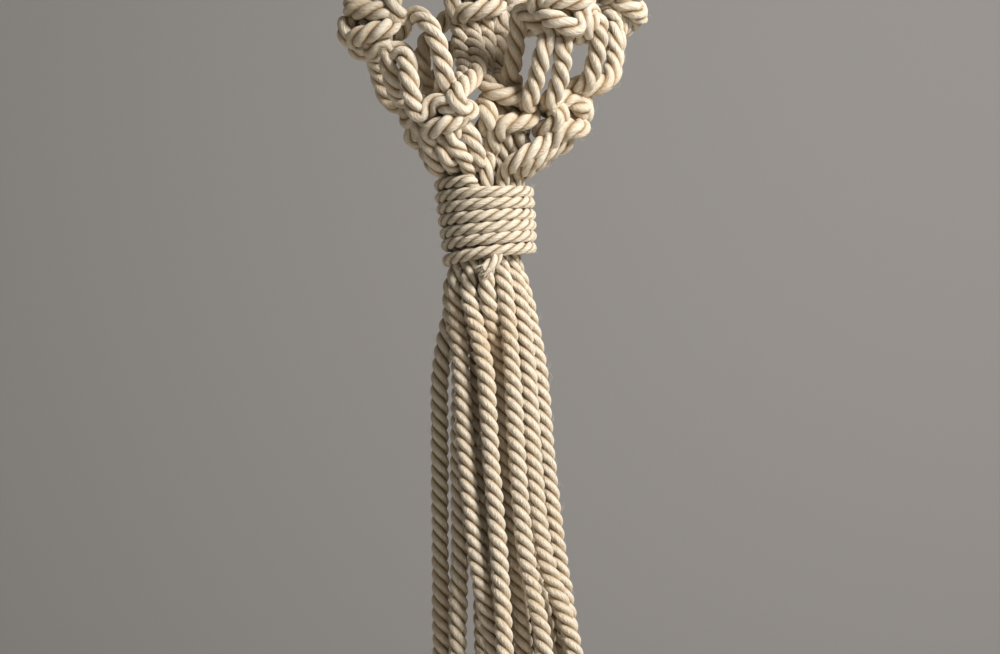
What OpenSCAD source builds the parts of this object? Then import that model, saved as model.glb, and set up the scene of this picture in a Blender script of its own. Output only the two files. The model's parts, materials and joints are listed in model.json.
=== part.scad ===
// Hanging macrame planter: a wooden ring, eight cotton cords folded over it into
// sixteen strands, a wrap at the top, four arms, a net of square knots, a wrap that
// gathers the net, and a tassel of sixteen loose strands. +Z is up and the origin
// is the point inside the top of the ring where a hook carries it.

/* [Ring] */
// Outer diameter of the hanging ring
ring_outer_d = 60; // [56:1:80]
// Diameter of the ring's round section
ring_wire_d = 9; // [7:0.5:10]

/* [Cord] */
// Diameter of the twisted cotton cord where it hangs free
cord_d = 4.5; // [3.6:0.1:5.4]
// Share of its diameter that a cord keeps in a square knot
knot_squeeze = 0.9; // [0.85:0.01:0.95]
// Share of its diameter that a cord keeps inside a wrap
wrap_squeeze = 0.78; // [0.7:0.01:0.8]

/* [Wraps] */
// Turns of wrapping cord in each wrap
wrap_turns = 7; // [4:1:9]
// Diameter of the wrapping cord when it is pulled tight
wrap_cord_d = 3.1; // [2.6:0.1:3.8]
// Distance from the hook point down to the top edge of the top wrap
top_wrap_drop = 72; // [68:1:110]
// Distance from the hook point down to the middle of the bottom wrap
bottom_wrap_drop = 520; // [430:5:700]

/* [Arms] */
// Height of the knotted column in each arm
column_h = 62; // [30:1:90]
// Number of square knots in each column
column_knots = 5; // [3:1:8]
// Length of loose cord between the top wrap and each knotted column
upper_arm_l = 84; // [50:1:110]

/* [Net] */
// Radius of the ring of knots at the ends of the arms
top_row_r = 58; // [50:1:70]
// Height of those knots above the middle of the bottom wrap
top_row_rise = 124; // [115:1:145]
// Radius of the row of knots below them
low_row_r = 52; // [46:1:62]
// Height of that row above the middle of the bottom wrap
low_row_rise = 88; // [86:1:100]
// Height of one square knot
knot_h = 12; // [10:0.5:14]
// Thickness of one square knot from front to back
knot_t = 10; // [8:0.5:11]

/* [Tassel] */
// Length of the tassel strands below the middle of the bottom wrap
tassel_l = 216; // [180:1:280]

/* [Hidden] */
$fn = 48;
clearance = 0.35;         // gap between parts that move against each other
tube_sides = 8;
tube_steps = 3;           // rings between two points of a tassel strand
cord_r = cord_d / 2;
knot_cord_r = cord_r * knot_squeeze;
wrap_strand_r = cord_r * wrap_squeeze;

// Ring: its inside top is the origin
ring_wire_r = ring_wire_d / 2;
ring_mean_r = ring_outer_d / 2 - ring_wire_r;
ring_centre_z = ring_wire_r - ring_mean_r;
loop_r = ring_wire_r + cord_r + clearance;
loop_count = 8;
loop_step = 2 * asin((cord_d + 0.2) / 2 / (ring_mean_r - loop_r));
loop_arc_steps = 8;
leg_steps = 6;

// Bundle of sixteen strands inside a wrap: twelve round the outside, four inside
outer_count = 12;
inner_count = 4;
strand_gap = 0.1;
bundle_skin = 0.4;           // solid left round the outer strands of a bundle
bundle_rise = 1;             // how far a bundle stands out of its wrap
outer_ring_r = (wrap_strand_r * 2 + strand_gap) / 2 / sin(180 / outer_count);
inner_ring_r = (wrap_strand_r * 2 + strand_gap) / 2 / sin(180 / inner_count);
bundle_r = outer_ring_r + wrap_strand_r + bundle_skin;
wrap_h = wrap_turns * wrap_cord_d;
wrap_r = bundle_r + wrap_cord_d;
top_wrap_z = -top_wrap_drop - wrap_h / 2;
bottom_wrap_z = -bottom_wrap_drop;

// Each bundle ends in a dome about the point that the strands below it swing on.
// The dome is just wide enough for the swinging strands to clear the wrap's edge.
pivot_depth = 4;
seat_r = norm([wrap_r, pivot_depth]) + clearance;
dome_r = seat_r - clearance;
top_pivot_z = top_wrap_z - wrap_h / 2 + pivot_depth;
bottom_pivot_z = bottom_wrap_z - wrap_h / 2 + pivot_depth;
start_r = wrap_strand_r - clearance / 2;

// Cords lie side by side across a knot
knot_pitch = 2 * knot_cord_r + 0.1;
knot_w = 4 * knot_pitch + 0.6;
cord_offsets = [-1.5, -0.5, 0.5, 1.5] * knot_pitch;

// Arms run straight from the top wrap to the top row of knots
arm_azimuths = [-110, -20, 70, 160];
row_count = 4;
arm_top = [outer_ring_r, top_pivot_z - seat_r];
arm_bottom = [top_row_r, bottom_wrap_z + top_row_rise + knot_h / 2];
arm_lean = atan((arm_bottom[0] - arm_top[0]) / (arm_top[1] - arm_bottom[1]));
arm_steps = 6;

// Knots of the net, row by row from the top: [x, y, height over the bottom wrap, the
// way the knot faces]. The two lowest rows sag together, as an unloaded net does.
top_row = [for (a = arm_azimuths)
    [top_row_r * sin(a), -top_row_r * cos(a), top_row_rise, a]];
second_row = [for (a = arm_azimuths)
    [low_row_r * sin(a + 45), -low_row_r * cos(a + 45), low_row_rise, a + 45]];
third_row = [
    [-27, -12, 49, -25],
    [-2, 6, 56, 5],
    [18, -17, 49, 12],
    [34, 9, 56, 75]
];
fourth_row = [
    [-9.5, -13, 25, -40],
    [4, -3.5, 27.5, 25],
    [20.5, -3, 25.5, 60],
    [-14.5, 10, 24.5, 230]
];
net_steps = 6;
// A second row cord first follows the pot's wall, then turns in under its foot
pot_foot_handle = 0.75;
handle = 0.45;

// Tassel: where each strand runs at these depths below the middle of the bottom wrap.
// Groups of three outer strands and one inner one hang left, front, right and back.
tassel_depths = [36, 58, 82, 106, 140, 178, tassel_l];
route_cord_d = 4.5;
spread = cord_d / route_cord_d;
tassel_routes = [
    [[-11.4, 2.5], [-11.8, 3], [-11.8, 2.5], [-11.5, 2], [-11, 2], [-10.5, 2], [-10, 2]],
    [[-6.8, -0.5], [-7, -2], [-6.8, -3.2], [-7.2, -3.5], [-6.5, -3.5], [-6, -3], [-5.5, -3]],
    [[-6.3, -6], [-5, -7], [-2.5, -8], [1.4, -8], [3, -8], [3.5, -7.5], [3.5, -7]],
    [[-2.5, 2.2], [-2.5, 1.5], [-1.5, 0.5], [-1, 0], [-0.5, 0], [0, 0], [0, 0]],
    [[-0.4, -9.3], [1, -9.8], [2.8, -10.5], [4.3, -12.2], [6.5, -12.2], [7.5, -11.2], [8, -10.8]],
    [[2.8, -4.5], [4, -5], [6.3, -5.8], [9.3, -7], [10.5, -7.5], [11, -7], [11, -6.5]],
    [[6, -9], [7.2, -10], [9.6, -11], [14.4, -12], [15.5, -12], [15.5, -11.5], [15, -11]],
    [[3, 0.8], [4.2, 0.3], [5.8, -0.5], [7.5, -1.5], [9, -1.5], [9.5, -1], [9.5, -1]],
    [[10, -5.3], [11.5, -6.5], [14.3, -8.3], [21.4, -8.2], [22, -8], [21.5, -7.5], [20.5, -7.2]],
    [[12.7, -0.5], [14.8, -1.6], [17.5, -3], [21, -3], [22, -2.8], [21.5, -2.3], [21, -2]],
    [[11.3, 5], [13, 4.5], [15.5, 3.2], [18.5, 2.5], [19, 2.5], [18.5, 3], [18, 3]],
    [[8, 0.8], [9.4, 0.2], [11.4, -1.2], [15, -3.5], [16, -3], [16, -2.5], [15.5, -2.5]],
    [[6.3, 6], [7.8, 5.5], [9.8, 4.6], [12, 3.5], [13, 3.5], [12.8, 4], [12.5, 4]],
    [[3.8, 11], [5.3, 10.8], [7, 10], [9, 9.2], [10, 9.2], [10, 9.6], [9.8, 9.6]],
    [[-1.8, 10.8], [-0.5, 10.5], [1.2, 9.8], [3.2, 9], [4.2, 9], [4.4, 9.5], [4.2, 9.5]],
    [[1.2, 6.2], [2.6, 5.8], [4.2, 5], [6, 4.3], [7.3, 4.3], [7.3, 4.8], [7, 4.8]]
];
first_outer_azimuth = -120;
azimuth_step = 360 / outer_count;

// Directions outwards and to the right of someone looking at the azimuth from outside
function outward(a) = [sin(a), -cos(a), 0];
function sideways(a) = [cos(a), sin(a), 0];
function unit(v) = v / norm(v);
function mix(a, b, t) = a + (b - a) * t;
function smooth(t) = let (c = max(0, min(1, t))) c * c * (3 - 2 * c);
function bezier(p, t) =
    pow(1 - t, 3) * p[0] + 3 * pow(1 - t, 2) * t * p[1]
    + 3 * (1 - t) * t * t * p[2] + pow(t, 3) * p[3];
function catmull(a, b, c, d, t) =
    0.5 * (2 * b + (c - a) * t + (2 * a - 5 * b + 4 * c - d) * t * t
    + (3 * b - a - 3 * c + d) * t * t * t);
// Smooth curve through points, with steps points from each one to the next
function smooth_path(p, steps) = let (last = len(p) - 1) concat(
    [for (i = [0 : last - 1], s = [0 : steps - 1])
        catmull(p[max(i - 1, 0)], p[i], p[i + 1], p[min(i + 2, last)], s / steps)],
    [p[last]]);
function bezier_path(p, steps) = [for (i = [0 : steps]) bezier(p, i / steps)];
// Direction of a path at each of its points, set at its two ends
function headings(p, first, last) = [for (i = [0 : len(p) - 1])
    i == 0 ? first : i == len(p) - 1 ? last : unit(p[i + 1] - p[i - 1])];
function circle_about(c, heading, r, across) =
    let (u = unit(cross(heading, across)), v = cross(heading, u))
    [for (k = [0 : tube_sides - 1])
        let (t = 360 * (k + 0.5) / tube_sides) c + r * (cos(t) * u + sin(t) * v)];
function onto_dome(p, pivot_z) =
    [p[0], p[1], pivot_z - sqrt(seat_r * seat_r - p[0] * p[0] - p[1] * p[1])];
function end_radii(n, first, last, taper) = [for (i = [0 : n])
    let (from_start = i / taper, from_end = (n - i) / taper)
    min(mix(first, cord_r, smooth(from_start)), mix(last, cord_r, smooth(from_end)))];

// Skin over rings of points, closed at both ends by fans about the two end points
module skin(rings, first, last) {
    n = len(rings[0]);
    m = len(rings);
    points = concat([for (ring = rings) each ring], [first, last]);
    sides = [for (i = [0 : m - 2], k = [0 : n - 1]) let (j = (k + 1) % n) each [
        [i * n + k, (i + 1) * n + k, (i + 1) * n + j],
        [i * n + k, (i + 1) * n + j, i * n + j]]];
    caps = [for (k = [0 : n - 1]) let (j = (k + 1) % n) each [
        [m * n, k, j],
        [m * n + 1, (m - 1) * n + j, (m - 1) * n + k]]];
    polyhedron(points, concat(sides, caps));
}

// Cord along a path with flat ends square to the two headings
module cord(path, radii, first_heading, last_heading, across) {
    h = headings(path, first_heading, last_heading);
    skin([for (i = [0 : len(path) - 1]) circle_about(path[i], h[i], radii[i], across)],
        path[0], path[len(path) - 1]);
}

// Cord that starts on the dome about a pivot and ends square to its last heading
module seated_cord(path, radii, last_heading, pivot_z) {
    across = [0, 1, 0];
    down = [0, 0, -1];
    h = headings(path, down, last_heading);
    first = [for (p = circle_about(path[0], down, radii[0], across)) onto_dome(p, pivot_z)];
    rest = [for (i = [1 : len(path) - 1]) circle_about(path[i], h[i], radii[i], across)];
    skin(concat([first], rest), onto_dome(path[0], pivot_z), path[len(path) - 1]);
}

module hanging_ring() {
    color("burlywood")
        translate([0, 0, ring_centre_z])
        rotate([90, 0, 0])
        rotate_extrude()
        translate([ring_mean_r, 0]) circle(ring_wire_r);
}

// One cord folded over the ring: up the front, over the wire and down the back
function loop_arc(a) = let (out = [sin(a), 0, -cos(a)])
    [for (i = [0 : loop_arc_steps]) let (t = 180 * i / loop_arc_steps)
        [0, 0, ring_centre_z] + out * (ring_mean_r - loop_r * sin(t))
        + [0, -loop_r * cos(t), 0]];
function leg(a, side, foot) = let (
        out = [sin(a), 0, -cos(a)],
        top = [0, 0, ring_centre_z] + out * ring_mean_r,
        drop = (top[2] - foot[2]) / 3,
        spine = [top, top + out * drop, [foot[0], 0, foot[2] + drop * 1.5],
            [foot[0], 0, foot[2]]])
    [for (i = [1 : leg_steps]) let (t = i / leg_steps, p = bezier(spine, t))
        [p[0], mix(side * loop_r, foot[1], smooth(2 * t - 1)), p[2]]];
// Place of a strand in a bundle: outer strands count round from the left
function bundle_place(azimuth, inside) = outward(azimuth) * (inside ? inner_ring_r : outer_ring_r);
front_places = [[-75, false], [-45, false], [-45, true], [-15, false],
    [15, false], [45, true], [45, false], [75, false]];

module ring_loops() {
    foot_z = top_wrap_z + wrap_h / 2 + bundle_rise;
    color("wheat")
        for (i = [0 : loop_count - 1]) {
            a = (i - (loop_count - 1) / 2) * loop_step;
            place = bundle_place(front_places[i][0], front_places[i][1]);
            front_foot = [place[0], place[1], foot_z];
            back_foot = [place[0], -place[1], foot_z];
            front_leg = leg(a, -1, front_foot);
            back_leg = leg(a, 1, back_foot);
            path = concat(
                [for (k = [leg_steps - 1 : -1 : 0]) front_leg[k]], loop_arc(a), back_leg);
            radii = end_radii(len(path) - 1, wrap_strand_r, wrap_strand_r, 3);
            cord(path, radii, [0, 0, 1], [0, 0, -1], [cos(a), 0, sin(a)]);
        }
}

// Strands squeezed together inside a wrap, ending below in the dome
module bundle(top_z, pivot_z) {
    color("tan")
        rotate_extrude()
        intersection() {
            union() {
                translate([0, pivot_z]) square([bundle_r, top_z - pivot_z]);
                translate([0, pivot_z]) circle(dome_r);
            }
            translate([0, pivot_z - dome_r]) square([bundle_r, top_z - pivot_z + dome_r]);
        }
}

module top_bundle() { bundle(top_wrap_z + wrap_h / 2 + bundle_rise, top_pivot_z); }
module bottom_bundle() { bundle(bottom_wrap_z + wrap_h / 2 + bundle_rise, bottom_pivot_z); }

// Turns of wrapping cord, each pressed a little into the next
module wrap(z) {
    press = 0.1;
    color("antiquewhite")
        translate([0, 0, z - wrap_h / 2])
        rotate_extrude()
        intersection() {
            translate([bundle_r, 0]) square([wrap_cord_d + press, wrap_h]);
            union() {
                translate([bundle_r, 0]) square([wrap_cord_d / 2, wrap_h]);
                for (i = [0 : wrap_turns - 1])
                    translate([bundle_r + wrap_cord_d / 2 - press, (i + 0.5) * wrap_cord_d])
                        circle(wrap_cord_d / 2 + press);
            }
        }
}

module top_wrap() { wrap(top_wrap_z); }
module bottom_wrap() { wrap(bottom_wrap_z); }

// Cut end of the wrapping cord, which comes out under the bottom wrap
module wrap_tail() {
    tail_r = wrap_cord_d / 2;
    tail_z = bottom_wrap_z - wrap_h / 2;
    path = [[3, -bundle_r - tail_r, tail_z], [2.4, -bundle_r - tail_r - 0.6, tail_z - 2.5],
        [1.4, -bundle_r - tail_r - 1, tail_z - 5]];
    color("antiquewhite")
        cord(path, [tail_r, tail_r, tail_r * 0.9], [0, 0, -1], unit([-1, 0, -2]), [0, 1, 0]);
}

// One square knot: a flat block of two rounded turns with a waist between them
module knot_block(height) {
    waist = 0.3;
    module turn(w, t, h) {
        linear_extrude(h, center = true) {
            square([w - t, t], center = true);
            for (s = [-1, 1]) translate([s * (w - t) / 2, 0]) circle(t / 2);
        }
    }
    turn(knot_w - 2 * waist, knot_t - 2 * waist, height);
    for (s = [-1, 1]) translate([0, 0, s * height / 4])
        turn(knot_w, knot_t, height / 2 - 2 * waist);
}

module net_knot(place) {
    color("wheat")
        translate([place[0], place[1], bottom_wrap_z + place[2]])
        rotate([0, 0, place[3]]) knot_block(knot_h);
}

// Points of an arm measured from its top: along it, and across it
function arm_point(a, along, across) =
    outward(a) * (arm_top[0] + along * sin(arm_lean)) + sideways(a) * across
    + [0, 0, arm_top[1] - along * cos(arm_lean)];
function arm_heading(a) = outward(a) * sin(arm_lean) - [0, 0, cos(arm_lean)];
arm_l = (arm_top[1] - arm_bottom[1]) / cos(arm_lean);

module arm_upper_cords(a) {
    places = [bundle_place(a - azimuth_step, false), bundle_place(a, false),
        bundle_place(a, true), bundle_place(a + azimuth_step, false)];
    color("wheat")
        for (i = [0 : 3]) {
            start = onto_dome(places[i], top_pivot_z);
            end = arm_point(a, upper_arm_l, cord_offsets[i]);
            pull = upper_arm_l * handle;
            path = bezier_path([start, start - [0, 0, pull],
                end - arm_heading(a) * pull, end], arm_steps);
            seated_cord(path, end_radii(arm_steps, start_r, knot_cord_r, 2),
                arm_heading(a), top_pivot_z);
        }
}

module arm_column(a) {
    one = column_h / column_knots;
    color("wheat")
        for (i = [0 : column_knots - 1])
            translate(arm_point(a, upper_arm_l + (i + 0.5) * one, 0))
            rotate([-arm_lean, 0, a]) knot_block(one);
}

module arm_lower_cords(a) {
    start = upper_arm_l + column_h;
    knot = [top_row_r * sin(a), -top_row_r * cos(a), arm_bottom[1]];
    color("wheat")
        for (offset = cord_offsets) {
            first = arm_point(a, start, offset);
            end = knot + sideways(a) * offset;
            pull = (arm_l - start) * handle;
            path = bezier_path([first, first + arm_heading(a) * pull,
                end + [0, 0, pull], end], arm_steps);
            cord(path, end_radii(arm_steps, knot_cord_r, knot_cord_r, 2),
                arm_heading(a), [0, 0, -1], sideways(a));
        }
}

// Cord from under one knot to the top of another, a row lower
module net_cord(from, from_offset, to, to_offset, first_pull) {
    start = [from[0], from[1], bottom_wrap_z + from[2] - knot_h / 2]
        + sideways(from[3]) * from_offset;
    end = [to[0], to[1], bottom_wrap_z + to[2] + knot_h / 2] + sideways(to[3]) * to_offset;
    pull = start[2] - end[2];
    path = bezier_path([start, start - [0, 0, pull * first_pull],
        end + [0, 0, pull * handle], end], net_steps);
    cord(path, end_radii(net_steps, knot_cord_r, knot_cord_r, 2),
        [0, 0, -1], [0, 0, -1], sideways((from[3] + to[3]) / 2));
}

// All the cords between two rows: each knot gives two cords to each knot beside it below.
// shift is 0 where knot i's right hand pair goes to knot i below, and 1 to the next one.
module net_cords(upper, lower, shift, first_pull) {
    color("wheat")
        for (i = [0 : row_count - 1]) {
            right = lower[(i + shift) % row_count];
            left = lower[(i + shift + row_count - 1) % row_count];
            for (k = [0, 1]) {
                net_cord(upper[i], cord_offsets[k], left, cord_offsets[k + 2], first_pull);
                net_cord(upper[i], cord_offsets[k + 2], right, cord_offsets[k], first_pull);
            }
        }
}

module upper_net_cords() { net_cords(top_row, second_row, 0, handle); }
module middle_net_cords() { net_cords(second_row, third_row, 1, pot_foot_handle); }
module lower_net_cords() { net_cords(third_row, fourth_row, 0, handle); }

// The sixteen cords run from the lowest knots into the bottom wrap, four from each
gather_azimuths = [-60, 30, 120, 210];
module gathered_cords() {
    color("wheat")
        for (i = [0 : row_count - 1]) {
            from = fourth_row[i];
            a = gather_azimuths[i];
            places = [bundle_place(a - azimuth_step, false), bundle_place(a, false),
                bundle_place(a, true), bundle_place(a + azimuth_step, false)];
            for (k = [0 : 3]) {
                start = [from[0], from[1], bottom_wrap_z + from[2] - knot_h / 2]
                    + sideways(from[3]) * cord_offsets[k];
                end = [places[k][0], places[k][1], bottom_wrap_z + wrap_h / 2 + bundle_rise];
                pull = (start[2] - end[2]) * handle;
                path = bezier_path([start, start - [0, 0, pull], end + [0, 0, pull], end], 4);
                cord(path, end_radii(4, knot_cord_r, wrap_strand_r, 2),
                    [0, 0, -1], [0, 0, -1], sideways(a));
            }
        }
}

// Strand i of the tassel: three outer strands and one inner one in each group of four
module strand(i) {
    group = floor(i / 4);
    inside = i % 4 == 3;
    azimuth = first_outer_azimuth + azimuth_step * (inside ? 3 * group + 1 : i - group);
    start = onto_dome(bundle_place(azimuth, inside), bottom_pivot_z);
    points = concat([start], [for (k = [0 : len(tassel_depths) - 1])
        [tassel_routes[i][k][0] * spread, tassel_routes[i][k][1] * spread,
            bottom_wrap_z - tassel_depths[k]]]);
    path = smooth_path(points, tube_steps);
    radii = [for (k = [0 : len(path) - 1]) mix(start_r, cord_r, smooth(k / tube_steps))];
    color("wheat") seated_cord(path, radii, [0, 0, -1], bottom_pivot_z);
}

hanging_ring();
ring_loops();
top_bundle();
top_wrap();
arm_upper_cords(arm_azimuths[0]);  // arm_left_upper_cords
arm_upper_cords(arm_azimuths[1]);  // arm_front_upper_cords
arm_upper_cords(arm_azimuths[2]);  // arm_right_upper_cords
arm_upper_cords(arm_azimuths[3]);  // arm_back_upper_cords
arm_column(arm_azimuths[0]);  // arm_left_column
arm_column(arm_azimuths[1]);  // arm_front_column
arm_column(arm_azimuths[2]);  // arm_right_column
arm_column(arm_azimuths[3]);  // arm_back_column
arm_lower_cords(arm_azimuths[0]);  // arm_left_lower_cords
arm_lower_cords(arm_azimuths[1]);  // arm_front_lower_cords
arm_lower_cords(arm_azimuths[2]);  // arm_right_lower_cords
arm_lower_cords(arm_azimuths[3]);  // arm_back_lower_cords
net_knot(top_row[0]);  // top_knot_left
net_knot(top_row[1]);  // top_knot_front
net_knot(top_row[2]);  // top_knot_right
net_knot(top_row[3]);  // top_knot_back
upper_net_cords();
net_knot(second_row[0]);  // second_knot_left
net_knot(second_row[1]);  // second_knot_front
net_knot(second_row[2]);  // second_knot_right
net_knot(second_row[3]);  // second_knot_back
middle_net_cords();
net_knot(third_row[0]);  // third_knot_left
net_knot(third_row[1]);  // third_knot_middle
net_knot(third_row[2]);  // third_knot_front
net_knot(third_row[3]);  // third_knot_right
lower_net_cords();
net_knot(fourth_row[0]);  // fourth_knot_left
net_knot(fourth_row[1]);  // fourth_knot_middle
net_knot(fourth_row[2]);  // fourth_knot_right
net_knot(fourth_row[3]);  // fourth_knot_back
gathered_cords();
bottom_bundle();
bottom_wrap();
wrap_tail();
strand(0);  // strand_left_1
strand(1);  // strand_left_2
strand(2);  // strand_left_3
strand(3);  // strand_left_4
strand(4);  // strand_front_1
strand(5);  // strand_front_2
strand(6);  // strand_front_3
strand(7);  // strand_front_4
strand(8);  // strand_right_1
strand(9);  // strand_right_2
strand(10);  // strand_right_3
strand(11);  // strand_right_4
strand(12);  // strand_back_1
strand(13);  // strand_back_2
strand(14);  // strand_back_3
strand(15);  // strand_back_4
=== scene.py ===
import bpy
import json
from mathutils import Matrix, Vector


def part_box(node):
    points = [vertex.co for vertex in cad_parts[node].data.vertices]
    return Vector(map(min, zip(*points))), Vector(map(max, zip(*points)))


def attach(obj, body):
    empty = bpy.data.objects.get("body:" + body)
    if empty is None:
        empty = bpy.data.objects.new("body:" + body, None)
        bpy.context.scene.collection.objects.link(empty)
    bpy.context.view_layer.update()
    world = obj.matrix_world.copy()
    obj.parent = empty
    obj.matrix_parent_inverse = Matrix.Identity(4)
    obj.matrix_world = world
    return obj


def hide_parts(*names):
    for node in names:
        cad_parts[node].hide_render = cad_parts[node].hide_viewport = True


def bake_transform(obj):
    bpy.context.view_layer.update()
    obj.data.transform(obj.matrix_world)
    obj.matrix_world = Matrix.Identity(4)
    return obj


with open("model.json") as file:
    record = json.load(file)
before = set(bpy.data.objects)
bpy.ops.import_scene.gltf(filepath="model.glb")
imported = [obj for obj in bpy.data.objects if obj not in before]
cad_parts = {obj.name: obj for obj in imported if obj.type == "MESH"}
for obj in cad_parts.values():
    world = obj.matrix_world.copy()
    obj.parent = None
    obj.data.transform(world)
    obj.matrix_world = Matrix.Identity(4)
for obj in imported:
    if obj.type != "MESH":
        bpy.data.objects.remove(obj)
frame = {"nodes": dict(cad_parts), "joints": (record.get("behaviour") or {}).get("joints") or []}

"""Looks of a hanging macrame planter: twisted cotton cord, tied and wrapped, on a beech ring.

Lengths are in metres. Cord routes inside the net are given in millimetres from the middle of
the bottom wrap, as a maker would measure them, and are turned to metres in one place.
"""

import json
import logging
import math
from dataclasses import dataclass, field
from enum import Enum

import bpy
import numpy as np

log = logging.getLogger("macrame_planter")

MM = 0.001
SEED = 7
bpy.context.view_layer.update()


def centre_of(node: str) -> np.ndarray:
    """Middle of a CAD node's box, in metres.

    Args:
        node: Name of the CAD node.

    Returns:
        The point as an array of three numbers.
    """
    low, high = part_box(node)
    return (np.array(low) + np.array(high)) / 2


# ---------------------------------------------------------------- colour and node helpers


def linear(hex_colour: str, alpha: float = 1.0) -> tuple[float, float, float, float]:
    """Turn an sRGB hex colour into Blender's linear RGBA.

    Args:
        hex_colour: Colour such as "#d9c7a3".
        alpha: Opacity.

    Returns:
        Linear red, green, blue and alpha.
    """
    channels = [int(hex_colour[i:i + 2], 16) / 255 for i in (1, 3, 5)]
    low_limit, slope, offset, power = 0.04045, 12.92, 0.055, 2.4
    out = [c / slope if c <= low_limit else ((c + offset) / (1 + offset)) ** power
           for c in channels]
    return out[0], out[1], out[2], alpha


def add_node(tree: bpy.types.NodeTree, kind: str, inputs: dict | None = None,
             **settings: object) -> bpy.types.Node:
    """Add one shader node with its settings and links.

    Args:
        tree: Node tree that takes the node.
        kind: Node type, such as "ShaderNodeTexNoise".
        inputs: Socket name or number to a value, or to an output socket to link from.
        **settings: Attributes of the node.

    Returns:
        The new node.
    """
    node = tree.nodes.new(kind)
    for name, value in settings.items():
        setattr(node, name, value)
    for key, value in (inputs or {}).items():
        if isinstance(value, bpy.types.NodeSocket):
            tree.links.new(value, node.inputs[key])
        else:
            node.inputs[key].default_value = value
    return node


def colour_ramp(tree: bpy.types.NodeTree, factor: bpy.types.NodeSocket,
                stops: list[tuple[float, str]]) -> bpy.types.NodeSocket:
    """Colour ramp through hex colours.

    Args:
        tree: Node tree.
        factor: Socket that drives the ramp.
        stops: Position and hex colour of each stop, in order.

    Returns:
        The ramp's colour output.
    """
    ramp = add_node(tree, "ShaderNodeValToRGB", {"Fac": factor})
    elements = ramp.color_ramp.elements
    while len(elements) < len(stops):
        elements.new(0.5)
    for element, (place, hex_colour) in zip(elements, stops):
        element.position = place
        element.color = linear(hex_colour)
    return ramp.outputs["Color"]


# ---------------------------------------------------------------- finishes


@dataclass(frozen=True)
class CottonRope:
    """Undyed three-strand cotton rope: matt, warm cream, with fine fibres along the cord.

    Colour falls from pale on the crown of each ply to tan in the grooves, a painted shade
    with some dust in it. Fibre streaks run along the cord, and a slow stain breaks them up.
    """

    name: str
    crown: str = "#e6dccb"
    side: str = "#cfbea2"
    # painted shade with some dust: colour of the grooves between the plies
    groove_shade_and_dust: str = "#6e5138"
    stain: str = "#cdb694"
    fibre_mm: float = 0.32
    streak_mm: float = 7.0
    yarn_mm: float = 0.9
    bump_mm: float = 0.20

    def build(self) -> bpy.types.Material:
        """Make the material.

        Returns:
            A node material that reads the cord_space and crown attributes.
        """
        material = bpy.data.materials.new(self.name)
        material.use_nodes = True
        tree = material.node_tree
        tree.nodes.clear()
        space = add_node(tree, "ShaderNodeAttribute", attribute_name="cord_space")
        crown = add_node(tree, "ShaderNodeAttribute", attribute_name="crown")
        across = 1 / (self.fibre_mm * MM)
        along = 1 / (self.streak_mm * MM)
        fibre_place = add_node(tree, "ShaderNodeMapping",
                               {"Vector": space.outputs["Vector"],
                                "Scale": (across, across, along)})
        fibres = add_node(tree, "ShaderNodeTexNoise",
                          {"Vector": fibre_place.outputs["Vector"], "Scale": 1.0,
                           "Detail": 3.0, "Roughness": 0.6})
        yarn = 1 / (self.yarn_mm * MM)
        yarn_place = add_node(tree, "ShaderNodeMapping",
                              {"Vector": space.outputs["Vector"],
                               "Scale": (yarn, yarn, along)})
        yarns = add_node(tree, "ShaderNodeTexNoise",
                         {"Vector": yarn_place.outputs["Vector"], "Scale": 1.0,
                          "Detail": 2.0, "Roughness": 0.5})
        objects = add_node(tree, "ShaderNodeTexCoord")
        stains = add_node(tree, "ShaderNodeTexNoise",
                          {"Vector": objects.outputs["Object"], "Scale": 45.0,
                           "Detail": 2.0, "Roughness": 0.5})
        # the ramp paints the groove shade where crown is low, rising to the cord's pale colour
        # on the crowns
        body = colour_ramp(tree, crown.outputs["Fac"],
                           [(0.0, self.groove_shade_and_dust), (0.45, self.side), (0.9, self.crown)])
        streak = add_node(tree, "ShaderNodeMapRange",
                          {"Value": fibres.outputs["Fac"], "From Min": 0.3, "From Max": 0.7,
                           "To Min": 0.74, "To Max": 1.12})
        streaked = add_node(tree, "ShaderNodeVectorMath",
                            {0: body, "Scale": streak.outputs["Result"]}, operation="SCALE")
        stain_share = add_node(tree, "ShaderNodeMapRange",
                               {"Value": stains.outputs["Fac"], "From Min": 0.48,
                                "From Max": 0.75, "To Min": 0.0, "To Max": 0.45})
        stained = add_node(tree, "ShaderNodeMix", {0: stain_share.outputs["Result"]},
                           data_type="RGBA")
        first, second = [s for s in stained.inputs if s.type == "RGBA"]
        tree.links.new(streaked.outputs["Vector"], first)
        second.default_value = linear(self.stain)
        colour = [s for s in stained.outputs if s.type == "RGBA"][0]
        height = add_node(tree, "ShaderNodeMath",
                          {0: fibres.outputs["Fac"], 1: yarns.outputs["Fac"]},
                          operation="ADD")
        bump = add_node(tree, "ShaderNodeBump",
                        {"Height": height.outputs["Value"], "Strength": 0.9,
                         "Distance": self.bump_mm * MM * 2})
        shader = add_node(tree, "ShaderNodeBsdfPrincipled",
                          {"Base Color": colour, "Roughness": 0.92,
                           "Specular IOR Level": 0.22, "Sheen Weight": 0.22,
                           "Sheen Roughness": 0.55, "Normal": bump.outputs["Normal"]})
        shader.inputs["Sheen Tint"].default_value = linear("#fff3dd")
        add_node(tree, "ShaderNodeOutputMaterial", {"Surface": shader.outputs["BSDF"]})
        return material


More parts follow.
